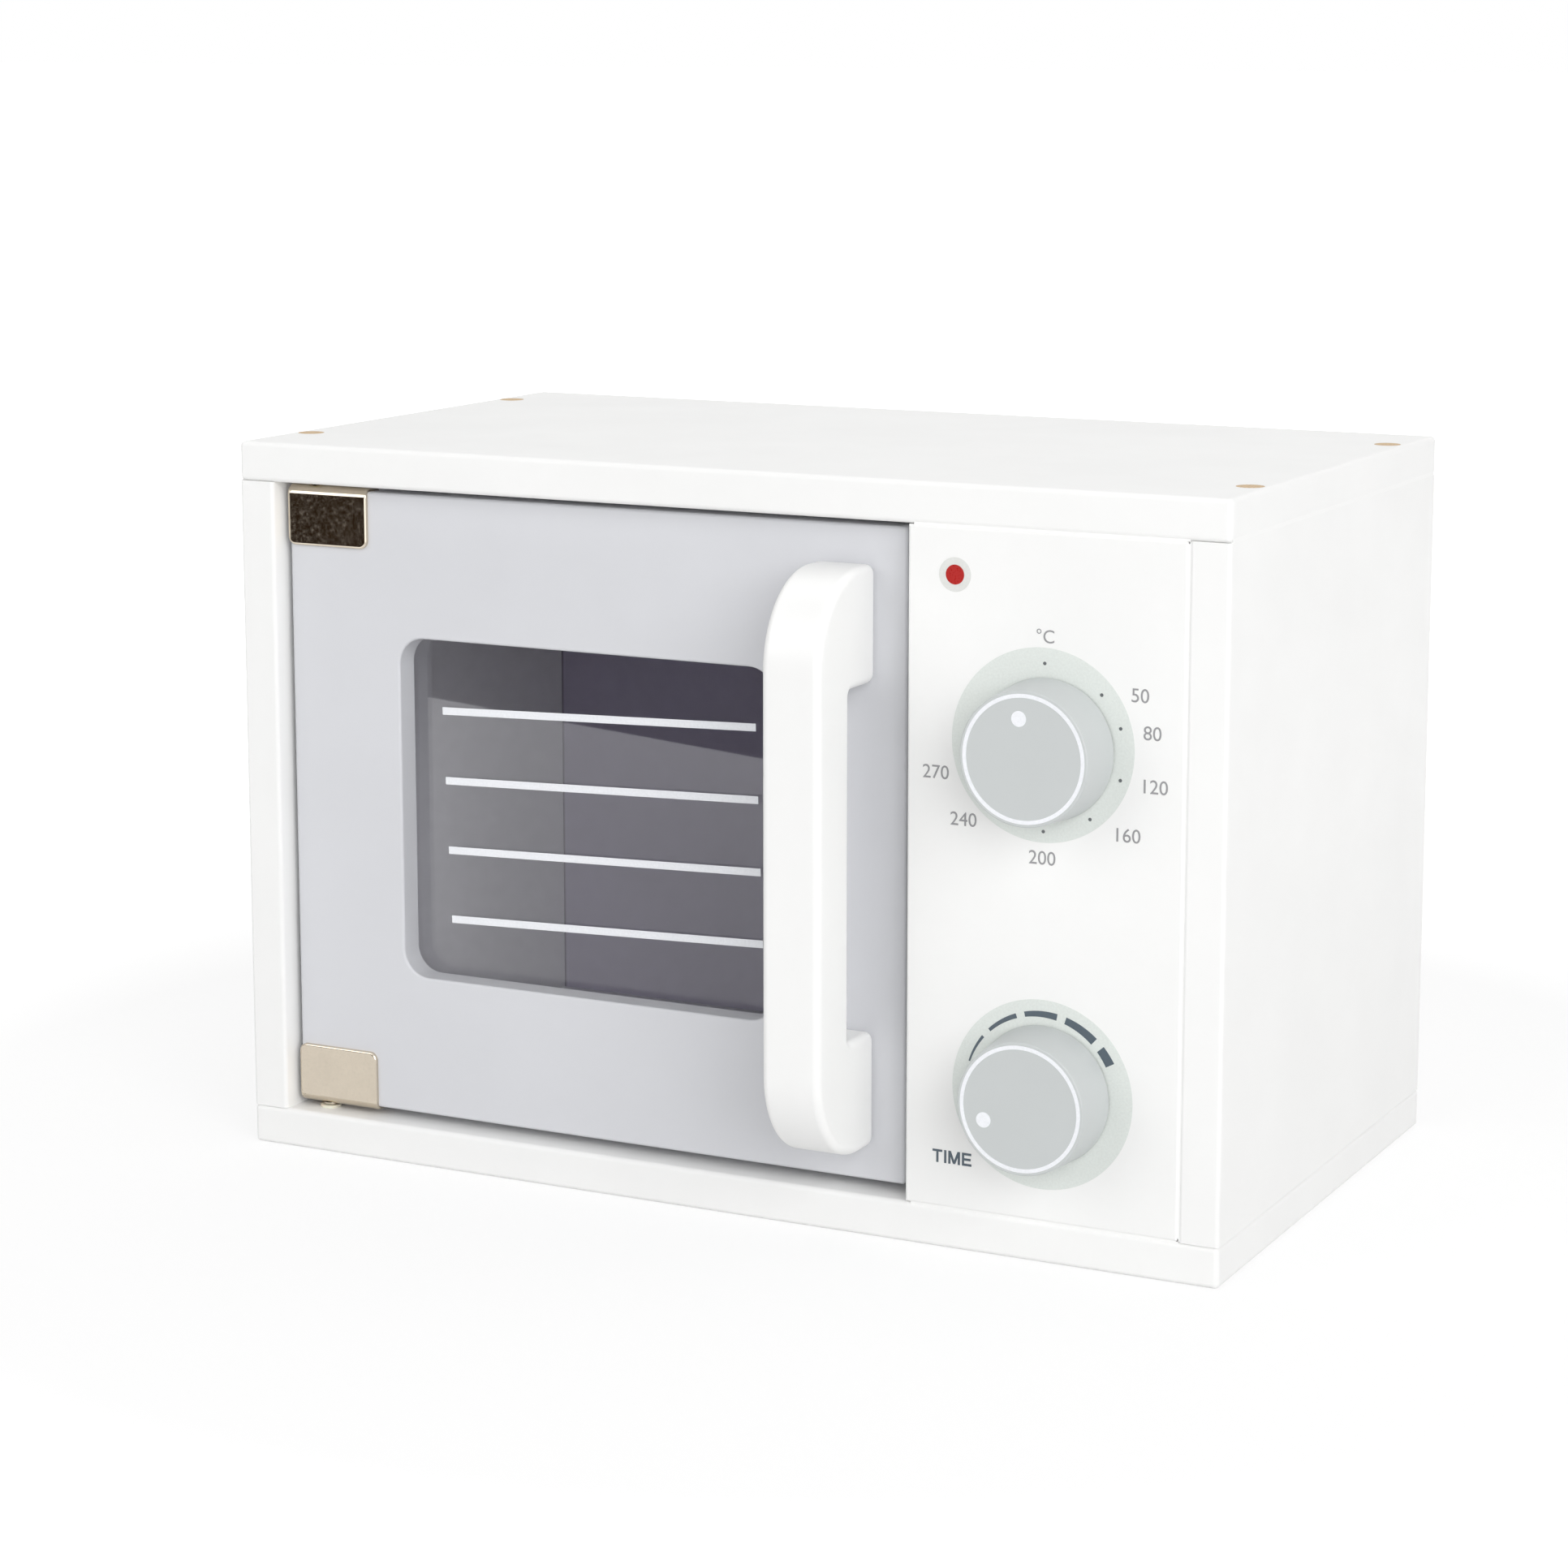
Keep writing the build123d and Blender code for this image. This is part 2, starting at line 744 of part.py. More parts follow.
def knob(height):
    """A moulded knob: tapered skirt, flat face, ribs inside and a hub through the panel."""
    hub_end = -(knob_gap + control_panel_thickness + knob_end_play)
    outline = Polyline(
        (0, 0), (knob_base_radius, 0), (knob_face_radius, knob_height), (0, knob_height), close=True,
    )
    skirt = revolve(Plane.XZ * make_face(outline), Axis.Z)
    skirt = fillet(skirt.edges().group_by(Axis.Z)[-1], knob_edge_radius)
    hollow = Polyline(
        (0, 0), (knob_base_radius - knob_wall, 0),
        (knob_face_radius - knob_wall, knob_height - knob_wall), (0, knob_height - knob_wall),
        close=True,
    )
    body = skirt - revolve(Plane.XZ * make_face(hollow), Axis.Z)
    rib_top = knob_height - knob_wall
    for turn in range(knob_rib_count):
        rib = Pos(knob_face_radius / 2, 0, (knob_rib_setback + rib_top) / 2) * Box(
            knob_face_radius - knob_wall, knob_rib_thickness, rib_top - knob_rib_setback,
        )
        body += Rot(0, 0, turn * 360 / knob_rib_count) * rib
    hub = Pos(0, 0, hub_end) * Cylinder(
        knob_hub_radius, rib_top - hub_end, align=(Align.CENTER, Align.CENTER, Align.MIN),
    )
    body += hub
    body -= Pos(0, 0, hub_end) * Cylinder(
        knob_screw_radius + screw_clearance, knob_screw_length,
        align=(Align.CENTER, Align.CENTER, Align.MIN),
    )
    return placed(body, knob_place(height, knob_gap), (0, -1, 0))


def knob_washer(height):
    """The washer that keeps a knob's hub in the control panel."""
    start = knob_place(height, -(control_panel_thickness + knob_end_play))
    body = rod(knob_washer_radius, knob_washer_thickness, start, (0, 1, 0))
    return body - rod(knob_screw_radius + screw_clearance, knob_washer_thickness, start, (0, 1, 0))


def knob_screw(height):
    """The screw that holds the washer on the end of the hub."""
    plain = pan_screw(
        knob_screw_radius, knob_screw_length,
        knob_screw_head_radius, knob_screw_head_height,
    )
    seat = -(control_panel_thickness + knob_end_play + knob_washer_thickness)
    return placed(plain, knob_place(height, seat), (0, -1, 0))


nodes = {
    "top_panel": top_panel(),
    "bottom_panel": bottom_panel(),
    "left_side_panel": left_side_panel(),
    "right_side_panel": right_side_panel(),
    "back_panel": back_panel(),
    "divider_panel": divider_panel(),
    "control_panel": control_panel(),
    "panel_battens": panel_battens(),
    "batten_screws": batten_screws(),
    "top_dowels": dowels(case_height, -1),
    "bottom_dowels": dowels(0, 1),
    "upper_pin_bush": pin_bush(ceiling, 1),
    "lower_pin_bush": pin_bush(floor, -1),
    "thrust_washer": thrust_washer(),
    "catch_housing": catch_housing(),
    "catch_magnet": catch_magnet(),
    "catch_poles": catch_poles(),
    "catch_screws": catch_screws(),
    "door_panel": door_panel(),
    "window_pane": window_pane(),
    "pane_screws": pane_screws(),
    "handle": handle(),
    "handle_screws": handle_screws(),
    "upper_hinge_clip": hinge_clip(door_top, 1),
    "lower_hinge_clip": hinge_clip(door_bottom, -1),
    "upper_hinge_pin": hinge_pin(door_top, 1),
    "lower_hinge_pin": hinge_pin(door_bottom, -1),
    "clamp_screws": clamp_screws(),
    "clamp_pads": clamp_pads(),
    "strike_plate": strike_plate(),
    "strike_screws": strike_screws(),
    "temperature_knob": knob(temperature_axis_height),
    "temperature_knob_washer": knob_washer(temperature_axis_height),
    "temperature_knob_screw": knob_screw(temperature_axis_height),
    "timer_knob": knob(timer_axis_height),
    "timer_knob_washer": knob_washer(timer_axis_height),
    "timer_knob_screw": knob_screw(timer_axis_height),
}

os.makedirs("parts", exist_ok=True)
for name, shape in nodes.items():
    export_step(shape, os.path.join("parts", name + ".step"))
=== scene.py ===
import math

import bpy
from bpy.props import FloatProperty, FloatVectorProperty, IntProperty, PointerProperty
from bpy.types import NodeSocket, Operator, Panel, PropertyGroup
from mathutils import Matrix, Vector


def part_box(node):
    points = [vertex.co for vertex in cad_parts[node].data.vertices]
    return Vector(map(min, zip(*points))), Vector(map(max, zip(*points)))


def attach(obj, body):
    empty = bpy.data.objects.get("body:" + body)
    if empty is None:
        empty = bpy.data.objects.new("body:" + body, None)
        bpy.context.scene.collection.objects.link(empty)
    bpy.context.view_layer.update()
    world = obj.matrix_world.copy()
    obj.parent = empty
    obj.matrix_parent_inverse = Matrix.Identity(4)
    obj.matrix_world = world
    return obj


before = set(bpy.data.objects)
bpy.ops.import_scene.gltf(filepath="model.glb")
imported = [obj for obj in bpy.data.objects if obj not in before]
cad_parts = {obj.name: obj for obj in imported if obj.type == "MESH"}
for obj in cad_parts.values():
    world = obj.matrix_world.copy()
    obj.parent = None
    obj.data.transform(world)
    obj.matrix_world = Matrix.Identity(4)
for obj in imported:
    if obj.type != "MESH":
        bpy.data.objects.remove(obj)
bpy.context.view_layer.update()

bl_info = {
    "name": "Toy microwave finish",
    "version": (1, 0, 0),
    "blender": (4, 5, 0),
    "location": "View3D > Sidebar > Toy microwave",
    "description": "Paints, prints and lights the toy microwave around its CAD model",
    "category": "Object",
}

MM = 0.001
TOP_LOW, TOP_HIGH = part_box("top_panel")
PANEL_LOW, PANEL_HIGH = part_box("control_panel")
PANE_LOW, PANE_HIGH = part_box("window_pane")

# The photograph's width and height, and the focal length and optical centre of its camera, in pixels
PHOTO_SIZE = 1932
PHOTO_FOCAL = 4668
PHOTO_CENTRE = (1030, 820)

ORIGIN = (0, 0, 0)
WHITE = (1, 1, 1)
QUARTER_TURN = math.pi / 2
# Points of a print that are nearer than this become one
MERGE_REACH = 1e-7
# Sides of a printed ring, steps of a printed dash and steps in the curves of a character
RING_SIDES = 128
DASH_STEPS = 12
LETTER_STEPS = 6
# Font size to start from, by a character's height
LETTER_SIZE = 1.4
# A colour mix has several inputs and outputs of one name, so they go by number
MIX_SHARE, MIX_FIRST, MIX_SECOND, MIX_RESULT = 0, 6, 7, 2


def srgb(red, green, blue):
    """A colour written as eight-bit screen values, turned into linear light by the sRGB curve."""
    def linear(value):
        share = value / 255
        return share / 12.92 if share <= 0.04045 else ((share + 0.055) / 1.055) ** 2.4
    return linear(red), linear(green), linear(blue)


def colour(name, description, value):
    """A colour that a user can change."""
    return FloatVectorProperty(
        name=name, description=description, default=value, subtype="COLOR", size=3, min=0, max=1,
    )


def length(name, description, value):
    """A length that a user can change, in metres."""
    return FloatProperty(name=name, description=description, default=value, unit="LENGTH", precision=5)


def angle(name, description, value):
    """An angle that a user can change, written in degrees."""
    return FloatProperty(name=name, description=description, default=math.radians(value), subtype="ANGLE")


# Sizes and colours that a user would change

class MicrowavePaint(PropertyGroup):
    """Colours of the object's paints, plastics and metals."""
    case: colour("Case", "Satin white paint on the boards", srgb(244, 244, 243))
    handle: colour("Handle", "Satin white paint on the handle", srgb(244, 244, 243))
    door: colour("Door", "Blue-grey paint on the door", srgb(214, 215, 219))
    # The oven side's darker violet grey is partly the board's tint and partly painted shade of the dim oven
    back: colour("Back", "Oven side of the thin back board", srgb(193, 187, 207))
    dowel: colour("Dowel", "Bare dowels and battens", srgb(206, 178, 142))
    nickel: colour("Nickel", "Bright nickel on the hinge clips and their pins", srgb(214, 203, 186))
    zinc: colour("Zinc", "Zinc on the other screws", srgb(190, 193, 196))
    ferrite: colour("Ferrite", "Magnet in the catch", srgb(66, 66, 70))
    nylon: colour("Nylon", "Pin bushes and washer", srgb(232, 226, 208))
    catch: colour("Catch", "Moulded catch housing", srgb(238, 238, 236))
    smoke: colour("Smoke", "Tint of the window pane", srgb(235, 235, 239))
    knob: colour("Knob", "Light grey knobs", srgb(196, 200, 200))
    rubber: colour("Rubber", "Clamp pads", srgb(52, 52, 54))


class MicrowavePrint(PropertyGroup):
    """Sizes and colours of what is printed on the panel, the knobs and the pane."""
    film: length("Film", "How far a print stands off its surface", 0.06 * MM)
    dial_ink: colour("Dial", "Pale disc round each knob", srgb(223, 228, 224))
    grey_ink: colour("Grey", "Numbers", srgb(150, 150, 152))
    slate_ink: colour("Slate", "Dashes and word of the timer", srgb(82, 94, 104))
    dot_ink: colour("Dots", "Dots of the temperature scale", srgb(96, 100, 102))
    white_ink: colour("White", "Marks on the knobs and lines on the pane", srgb(240, 242, 246))
    lamp_ink: colour("Lamp", "Red lamp", srgb(175, 8, 0))
    lamp_ring_ink: colour("Lamp ring", "Pale ring round the lamp", srgb(222, 223, 220))
    dial_radius: length("Dial radius", "Radius of each printed disc", 27.4 * MM)
    hub_hole: length("Hub hole", "Radius of the hole in each disc for the knob's hub", 6.0 * MM)
    number_height: length("Number height", "Height of the numbers", 3.9 * MM)
    word_height: length("Word height", "Height of the timer's word", 3.8 * MM)
    scale_dot: length("Scale dot", "Radius of the temperature dots", 0.5 * MM)
    dash_radius: length("Dash radius", "Radius of the row of dashes", 23.3 * MM)
    dash_thin: length("Thin end", "Width where the dashes start", 0.5 * MM)
    dash_thick: length("Thick end", "Width where the dashes end", 2.8 * MM)
    lamp_radius: length("Lamp radius", "Radius of the red lamp", 2.8 * MM)
    lamp_ring: length("Lamp ring", "Outer radius of the ring round the lamp", 4.85 * MM)
    face_ring: length("Face ring", "Outer radius of the ring on a knob", 18.1 * MM)
    face_ring_width: length("Ring width", "Width of the ring on a knob", 1.1 * MM)
    pointer_radius: length("Pointer", "Radius of the dot that points on a knob", 2.2 * MM)
    line_length: length("Line length", "Length of the lines on the pane", 107 * MM)
    line_width: length("Line width", "Width of the lines on the pane", 2.3 * MM)
    line_pitch: length("Line pitch", "Distance between the lines on the pane", 21.5 * MM)
    line_count: IntProperty(name="Lines", description="Lines on the pane", default=4, min=1, max=12)
    line_tilt: angle("Line tilt", "How far the printed lines sit out of level", 2.0)


class MicrowaveStage(PropertyGroup):
    """Camera, soft light, floor and dark card."""
    camera_place: FloatVectorProperty(
        name="Camera", description="Where the camera stands", subtype="TRANSLATION", unit="LENGTH",
        default=(0.5089, -1.0369, 0.3432),
    )
    camera_turn: angle("Turn", "How far round to the right the camera stands", 26.24)
    camera_tilt: angle("Tilt", "How far down the camera looks", 9.52)
    camera_roll: angle("Roll", "How far the camera leans", 0.10)
    focal_share: FloatProperty(
        name="Focal share", description="Focal length as a share of the frame's width",
        default=PHOTO_FOCAL / PHOTO_SIZE, min=0.5, max=5,
    )
    shift_x: FloatProperty(
        name="Shift X", description="Lens shift across", default=0.5 - PHOTO_CENTRE[0] / PHOTO_SIZE,
    )
    shift_y: FloatProperty(
        name="Shift Y", description="Lens shift up", default=PHOTO_CENTRE[1] / PHOTO_SIZE - 0.5,
    )
    sky: FloatProperty(name="Sky", description="Strength of the soft light all round", default=0.2)
    floor: colour("Floor", "Pale floor", srgb(236, 236, 236))
    card: colour("Card", "Dark card that the pane and the upper hinge clip mirror", srgb(46, 35, 25))


# Small steps that the operators share

def deselect():
    """Object mode with nothing selected."""
    if bpy.context.object and bpy.context.object.mode != "OBJECT":
        bpy.ops.object.mode_set(mode="OBJECT")
    bpy.ops.object.select_all(action="DESELECT")


def edit_all():
    """Edit mode on the active piece with everything selected."""
    bpy.ops.object.mode_set(mode="EDIT")
    bpy.ops.mesh.select_all(action="SELECT")


def close_mesh():
    """Merge doubles, turn the faces outwards and leave edit mode."""
    bpy.ops.mesh.select_all(action="SELECT")
    bpy.ops.mesh.remove_doubles(threshold=MERGE_REACH)
    bpy.ops.mesh.normals_make_consistent(inside=False)
    bpy.ops.object.mode_set(mode="OBJECT")


def thicken(film):
    """Extrude the flat shape being edited into a thin closed print."""
    bpy.ops.mesh.select_all(action="SELECT")
    bpy.ops.mesh.extrude_region_move(TRANSFORM_OT_translate={"value": (0, 0, film)})
    close_mesh()


def apply_place():
    """Put the place, turn and size of what is selected into its mesh."""
    bpy.ops.object.transform_apply(location=True, rotation=True, scale=True)


def stand_up(piece, place, turn=0.0):
    """Turn a print that was drawn flat, and about its middle, to face the front at its place."""
    piece.matrix_world = (
        Matrix.Translation(place) @ Matrix.Rotation(-turn, 4, "Y") @ Matrix.Rotation(QUARTER_TURN, 4, "X")
    )
    apply_place()


def offset_from(centre, offset, face):
    """A place on a face that looks to the front, across and up from a centre in millimetres."""
    across, up = offset
    return Vector((centre.x + across * MM, face, centre.z + up * MM))


def finish_piece(piece, name, material, body):
    """Name a piece, give it its material and let it ride on its body."""
    piece.name = name
    piece.data.name = name
    piece.data.materials.clear()
    piece.data.materials.append(material)
    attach(piece, body)
    deselect()


def join(pieces):
    """One piece from several, which is then the active one."""
    deselect()
    for piece in pieces:
        piece.select_set(True)
    bpy.context.view_layer.objects.active = pieces[0]
    if len(pieces) > 1:
        bpy.ops.object.join()
    return bpy.context.object


def copy_piece(piece, move):
    """A copy with its own mesh, moved by a vector."""
    deselect()
    piece.select_set(True)
    bpy.context.view_layer.objects.active = piece
    bpy.ops.object.duplicate(linked=False)
    bpy.ops.transform.translate(value=move)
    apply_place()
    return bpy.context.object


def printed_disc(radius, film):
    """A printed round spot, drawn flat."""
    deselect()
    bpy.ops.mesh.primitive_circle_add(vertices=RING_SIDES // 2, radius=radius, fill_type="NGON")
    edit_all()
    # An inner ring of faces keeps the triangles short
    bpy.ops.mesh.inset(thickness=radius / 3, depth=0)
    thicken(film)
    return bpy.context.object


def printed_ring(inner, outer, film):
    """A printed ring, drawn flat."""
    deselect()
    bpy.ops.mesh.primitive_circle_add(vertices=RING_SIDES, radius=inner)
    edit_all()
    bpy.ops.mesh.extrude_region_move()
    bpy.ops.transform.resize(value=(outer / inner, outer / inner, 1), center_override=ORIGIN)
    thicken(film)
    return bpy.context.object


def printed_dash(radius, start, end, start_width, end_width, film):
    """A printed dash that follows a circle clockwise and grows wider, drawn flat."""
    deselect()
    bpy.ops.mesh.primitive_plane_add(size=start_width)
    edit_all()
    bpy.ops.transform.resize(value=(1, 0, 1), center_override=ORIGIN)
    bpy.ops.mesh.remove_doubles(threshold=MERGE_REACH)
    bpy.ops.transform.translate(value=(radius, 0, 0))
    bpy.ops.mesh.select_all(action="SELECT")
    bpy.ops.transform.rotate(value=-start, orient_axis="Z", center_override=ORIGIN)
    step = (start - end) / DASH_STEPS
    for index in range(1, DASH_STEPS + 1):
        before = start_width + (end_width - start_width) * (index - 1) / DASH_STEPS
        after = start_width + (end_width - start_width) * index / DASH_STEPS
        here = start - step * index
        middle = (radius * math.cos(here), radius * math.sin(here), 0)
        bpy.ops.mesh.extrude_region_move()
        bpy.ops.transform.rotate(value=step, orient_axis="Z", center_override=ORIGIN)
        bpy.ops.transform.resize(value=(after / before, after / before, 1), center_override=middle)
    thicken(film)
    return bpy.context.object


def printed_bar(start, end, width, film):
    """A printed straight bar between two points, drawn flat."""
    start, end = Vector(start), Vector(end)
    deselect()
    bpy.ops.mesh.primitive_plane_add(size=1)
    edit_all()
    bpy.ops.transform.resize(value=((end - start).length, width, 1), center_override=ORIGIN)
    turn = math.atan2(end.y - start.y, end.x - start.x)
    bpy.ops.transform.rotate(value=-turn, orient_axis="Z", center_override=ORIGIN)
    middle = (start + end) / 2
    bpy.ops.transform.translate(value=(middle.x, middle.y, 0))
    thicken(film)
    return bpy.context.object


def paint_fill(low, high):
    """Paint that fills a joint, as a straight bar between two corners."""
    deselect()
    bpy.ops.mesh.primitive_cube_add(size=1)
    edit_all()
    bpy.ops.transform.resize(value=high - low, center_override=ORIGIN)
    bpy.ops.transform.translate(value=(low + high) / 2)
    close_mesh()
    return bpy.context.object


def printed_word(text, height, film):
    """Printed characters of a given height, centred and drawn flat."""
    deselect()
    bpy.ops.object.text_add()
    letters = bpy.context.object
    letters.data.body = text
    letters.data.size = height * LETTER_SIZE
    letters.data.resolution_u = LETTER_STEPS
    letters.data.align_x = "CENTER"
    letters.data.extrude = film / 2
    bpy.ops.object.convert(target="MESH")
    piece = bpy.context.object
    edit_all()
    close_mesh()
    # The first corner of a bounding box is its lowest, and the seventh its highest
    low, high = Vector(piece.bound_box[0]), Vector(piece.bound_box[6])
    share = height / (high.y - low.y)
    middle = (low + high) / 2
    piece.location = (-middle.x * share, -middle.y * share, film / 2)
    piece.scale = (share, share, 1)
    apply_place()
    return piece


# Materials

def new_material(name, base):
    """A material with only its shader, whose viewport colour is its own."""
    material = bpy.data.materials.new(name)
    material.use_nodes = True
    material.diffuse_color = (*base, 1)
    return material


def shader(material):
    """The main shader that a new material comes with."""
    return material.node_tree.nodes["Principled BSDF"]


def put(owner, node, name, value):
    """A value or a wire into one of a node's inputs, by its name or number."""
    if isinstance(value, NodeSocket):
        owner.node_tree.links.new(value, node.inputs[name])
    elif hasattr(value, "__len__") and node.inputs[name].type == "RGBA":
        node.inputs[name].default_value = (*value, 1)
    else:
        node.inputs[name].default_value = value


def add_node(owner, kind, inputs=None, **settings):
    """A node with its settings, values and incoming wires, in a material or the world."""
    node = owner.node_tree.nodes.new(kind)
    for name, value in settings.items():
        setattr(node, name, value)
    for name, value in (inputs or {}).items():
        put(owner, node, name, value)
    return node


def set_shader(material, **inputs):
    """Values and wires into the main shader, by input name with underscores."""
    for name, value in inputs.items():
        put(material, shader(material), name.replace("_", " "), value)


def set_surface(material, output):
    """Make another shader the one that the material shows."""
    put(material, material.node_tree.nodes["Material Output"], "Surface", output)


def mixed_surface(material, share, first, second):
    """Show one shader or another, by a share."""
    mix = add_node(material, "ShaderNodeMixShader", {"Fac": share, 1: first, 2: second})
    set_surface(material, mix.outputs[0])


def object_place(material, stretch=(1, 1, 1)):
    """The place on the object, stretched for a pattern."""
    place = add_node(material, "ShaderNodeTexCoord").outputs["Object"]
    return add_node(material, "ShaderNodeMapping", {"Vector": place, "Scale": stretch}).outputs["Vector"]


def noise(material, place, scale, detail, roughness=0.5):
    """A cloudy pattern from 0 to 1, with so many spots to the metre."""
    return add_node(
        material, "ShaderNodeTexNoise",
        {"Vector": place, "Scale": scale, "Detail": detail, "Roughness": roughness},
    ).outputs["Fac"]


def between(owner, share, low, high, from_low=0.3, from_high=0.7):
    """A number that follows a pattern from a low to a high value."""
    return add_node(
        owner, "ShaderNodeMapRange",
        {"Value": share, "From Min": from_low, "From Max": from_high, "To Min": low, "To Max": high},
    ).outputs["Result"]


def larger(owner, first, second):
    """The larger of two numbers, such as whether a ray is of one kind or another."""
    return add_node(owner, "ShaderNodeMath", {0: first, 1: second}, operation="MAXIMUM").outputs[0]


def blended(material, share, first, second):
    """A colour between two, by a pattern."""
    inputs = {MIX_SHARE: share, MIX_FIRST: first, MIX_SECOND: second}
    return add_node(material, "ShaderNodeMix", inputs, data_type="RGBA").outputs[MIX_RESULT]


def shade(value, share):
    """A colour made darker or lighter by a share."""
    return tuple(min(1.0, part * share) for part in value)


def mottled(material, pattern, base, low, high, **reach):
    """A colour that a pattern takes from one share of its brightness to another."""
    return blended(material, between(material, pattern, 0, 1, **reach), shade(base, low), shade(base, high))


def bump(material, height, depth, below=None):
    """A surface relief of a real depth, over another one if there is one."""
    inputs = {"Height": height, "Distance": depth, "Strength": 1}
    if below is not None:
        inputs["Normal"] = below
    return add_node(material, "ShaderNodeBump", inputs).outputs["Normal"]


def satin_paint(name, base, smooth, rough, peel=0.012 * MM, streak=(1, 1, 1)):
    """Sprayed satin paint: fine orange peel, a faint roll of tone and uneven gloss."""
    material = new_material(name, base)
    place = object_place(material, streak)
    cloud = noise(material, place, scale=24, detail=4)
    broad = noise(material, place, scale=90, detail=3)
    fine = noise(material, place, scale=620, detail=2)
    roll = bump(material, broad, 3 * peel)
    set_shader(
        material,
        Base_Color=mottled(material, cloud, base, low=0.985, high=1.01),
        Roughness=between(material, broad, smooth, rough),
        Normal=bump(material, fine, peel, below=roll),
        IOR=1.46,
    )
    return material


def back_board_paint_and_shade(name, base, outside, corner, middle):
    """Back's paint: inside partly tint and partly painted shade, painted shade by the left board, case paint
    outside.
    """
    # A strip along the left board is painted darker: painted shade in the corner where the back meets it
    joint_width, corner_shade_tone, edge_width = 0.9 * MM, 0.4, 0.5 * MM
    material = satin_paint(name, base, smooth=0.5, rough=0.62)
    tone = shader(material).inputs["Base Color"].links[0].from_socket
    place = add_node(material, "ShaderNodeTexCoord").outputs["Object"]
    parts = add_node(material, "ShaderNodeSeparateXYZ", {"Vector": place}).outputs
    joint = between(material, parts["X"], 0, 1, corner, corner + joint_width)
    inside = blended(material, joint, shade(base, corner_shade_tone), tone)
    through = between(material, parts["Y"], 0, 1, middle, middle + edge_width)
    set_shader(material, Base_Color=blended(material, through, inside, outside))
    return material


def moulded_plastic(name, base, smooth, rough, grain=0.006 * MM, scale=1800, soft=0.0):
    """Moulded plastic with a fine even grain."""
    material = new_material(name, base)
    place = object_place(material)
    cloud = noise(material, place, scale=40, detail=2)
    fine = noise(material, place, scale=scale, detail=2)
    set_shader(
        material,
        Base_Color=mottled(material, cloud, base, low=0.99, high=1.01),
        Roughness=between(material, cloud, smooth, rough),
        Normal=bump(material, fine, grain),
        IOR=1.5, Subsurface_Weight=soft, Subsurface_Scale=2 * MM,
    )
    return material


def end_grain(name, base):
    """Bare hardwood: rings and pores on the dowel's end, streaks along it."""
    pore_tone, smooth, rough = 0.55, 0.62, 0.78
    material = new_material(name, base)
    place = object_place(material, stretch=(1, 1, 0.08))
    rings = add_node(
        material, "ShaderNodeTexWave",
        {"Vector": place, "Scale": 260, "Distortion": 6, "Detail": 3, "Detail Scale": 1.6},
        wave_type="BANDS", bands_direction="X",
    ).outputs["Fac"]
    pores = add_node(material, "ShaderNodeTexVoronoi", {"Vector": place, "Scale": 2600}).outputs["Distance"]
    wood = mottled(material, rings, base, low=0.84, high=1.08, from_low=0.1, from_high=0.9)
    in_pore = between(material, pores, 1, 0, from_low=0.05, from_high=0.28)
    set_shader(
        material,
        Base_Color=blended(material, in_pore, wood, shade(base, pore_tone)),
        Roughness=between(material, rings, smooth, rough, from_low=0, from_high=1),
        Normal=bump(material, pores, 0.03 * MM),
    )
    return material


def plated_metal(name, base, smooth, rough, stain):
    """Plated sheet with cloudy stains and small pits, whose mirror fine rubbed specks and dust dull."""
    rub, dust = 0.17, 0.09
    material = new_material(name, base)
    place = object_place(material)
    cloud = noise(material, place, scale=160, detail=4, roughness=0.55)
    brushed = noise(material, place, scale=420, detail=3)
    specks = noise(material, place, scale=600, detail=6, roughness=0.8)
    pits = noise(material, place, scale=1500, detail=2)
    stained = between(material, cloud, smooth, rough, from_low=0.3, from_high=0.72)
    rubbed = between(material, specks, 0, rub, from_low=0.54, from_high=0.7)
    set_shader(
        material,
        Base_Color=mottled(material, cloud, base, low=1, high=1 - stain, from_low=0.35, from_high=0.7),
        Roughness=add_node(material, "ShaderNodeMath", {0: stained, 1: rubbed}, operation="ADD").outputs[0],
        Metallic=between(material, specks, 1, 1 - dust, from_low=0.42, from_high=0.68),
        Normal=bump(material, pits, 0.0006 * MM, below=bump(material, brushed, 0.003 * MM)),
    )
    return material


def smoked_sheet(name, base):
    """Clear tinted sheet: glossy, with a breath of haze and a faint wave, which lamps shine through."""
    haze = 0.015
    material = new_material(name, base)
    place = object_place(material)
    wave = noise(material, place, scale=14, detail=1)
    dust = noise(material, place, scale=240, detail=4)
    set_shader(
        material,
        Base_Color=mottled(material, dust, base, low=0.98, high=1.02),
        Roughness=between(material, dust, 0, haze),
        Normal=bump(material, wave, 0.02 * MM),
        IOR=1.53, Transmission_Weight=1.0,
    )
    # A ray passes two faces, and each takes its part of the tint
    face_tint = tuple(part ** 0.5 for part in base)
    clear = add_node(material, "ShaderNodeBsdfTransparent", {"Color": face_tint}).outputs[0]
    rays = add_node(material, "ShaderNodeLightPath").outputs
    passing = larger(material, rays["Is Shadow Ray"], rays["Is Diffuse Ray"])
    mixed_surface(material, passing, shader(material).outputs[0], clear)
    return material


def printing_ink(name, base, rough=0.42):
    """Screen printing ink: flat, with a slightly uneven cover."""
    uneven = 0.05
    material = new_material(name, base)
    cover = noise(material, object_place(material), scale=1500, detail=3)
    set_shader(
        material,
        Base_Color=mottled(material, cover, base, low=0.96, high=1.03),
        Roughness=between(material, cover, rough - uneven, rough + uneven),
        Normal=bump(material, cover, 0.003 * MM),
    )
    return material


def seen_rays(owner):
    """1 for rays from the camera, from gloss and through clear pieces."""
    rays = add_node(owner, "ShaderNodeLightPath").outputs
    mirrored = larger(owner, rays["Is Camera Ray"], rays["Is Glossy Ray"])
    return larger(owner, mirrored, rays["Is Transmission Ray"])


def dress(material, *nodes):
    """Give CAD nodes a material."""
    for name in nodes:
        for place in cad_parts[name].material_slots:
            place.material = material


# Operators

